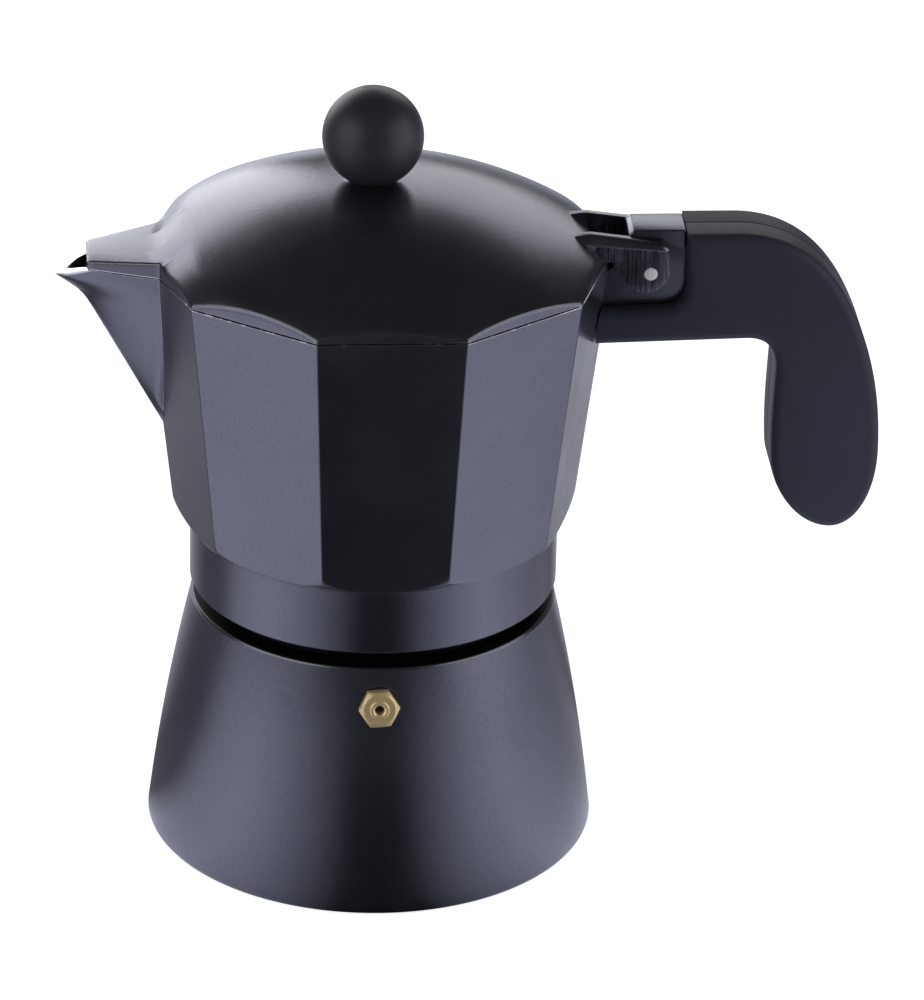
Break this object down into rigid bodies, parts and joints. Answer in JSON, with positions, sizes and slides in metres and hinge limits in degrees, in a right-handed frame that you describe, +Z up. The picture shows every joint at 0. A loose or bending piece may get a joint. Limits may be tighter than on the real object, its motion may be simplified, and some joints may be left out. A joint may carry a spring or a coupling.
{
  "type": "moka pot",
  "caption": "Stovetop coffee pot: round boiler, ten-sided screw-on upper chamber with keeled spout, hinged dome lid with ball knob, and a hooked grip handle.",
  "frame": {"origin": "centre of the boiler's flat underside", "axes": "+Z up, +X towards the handle, -X towards the spout, -Y towards the relief valve"},
  "size_m": [0.1672, 0.092, 0.1614],
  "materials": {
    "coated_dark": "satin dark coating on cast aluminium",
    "bare_aluminium": "brushed",
    "brass": "machined",
    "steel": "bright",
    "fibre": "pressed fibre",
    "silicone": "moulded silicone",
    "handle_plastic": "soft matte",
    "knob_plastic": "soft matte"
  },
  "bodies": {
    "boiler": {"boiler": "coated_dark", "valve_body": "brass", "valve_washer": "fibre", "valve_seat": "brass", "valve_spring": "steel"},
    "relief": {"valve_plunger": "steel"},
    "funnel": {"funnel": "bare_aluminium", "funnel_plate": "bare_aluminium"},
    "gasket": {"gasket": "silicone"},
    "filter": {"filter_plate": "bare_aluminium"},
    "collector": {"collector": "coated_dark", "column": "bare_aluminium", "hinge_pin": "steel", "handle": "handle_plastic", "handle_washer": "steel", "handle_screw": "steel"},
    "lid": {"lid": "coated_dark", "knob": "knob_plastic", "knob_insert": "brass", "knob_washer": "steel", "knob_screw": "steel"}
  },
  "joints": [
    {"name": "relief_travel", "type": "slide", "parent": "boiler", "child": "relief", "axis": [0, -0.9833, 0.1822], "range_m": [0, 0.0012], "stiffness_N_per_m": 300, "springref_m": -0.002, "deforming": ["valve_spring"]},
    {"name": "funnel_lift", "type": "slide", "parent": "boiler", "child": "funnel", "axis": [0, 0, 1], "range_m": [0, 0.066]},
    {"name": "collector_lift", "type": "slide", "parent": "funnel", "child": "gasket", "axis": [0, 0, 1], "range_m": [0, 0.06]},
    {"name": "thread_rise", "type": "slide", "parent": "gasket", "child": "filter", "axis": [0, 0, 1], "range_m": [0, 0.0061]},
    {"name": "collector_turn", "type": "hinge", "parent": "filter", "child": "collector", "pos_m": [0, 0, 0.062], "axis": [0, 0, 1], "range_deg": [0, 720]},
    {"name": "lid_hinge", "type": "hinge", "parent": "collector", "child": "lid", "pos_m": [0.0541, 0, 0.1238], "axis": [0, 1, 0], "range_deg": [0, 82]}
  ],
  "couplings": [
    {"joint": "thread_rise", "follows": "collector_turn", "m_per_rad": 0.00047746}
  ]
}
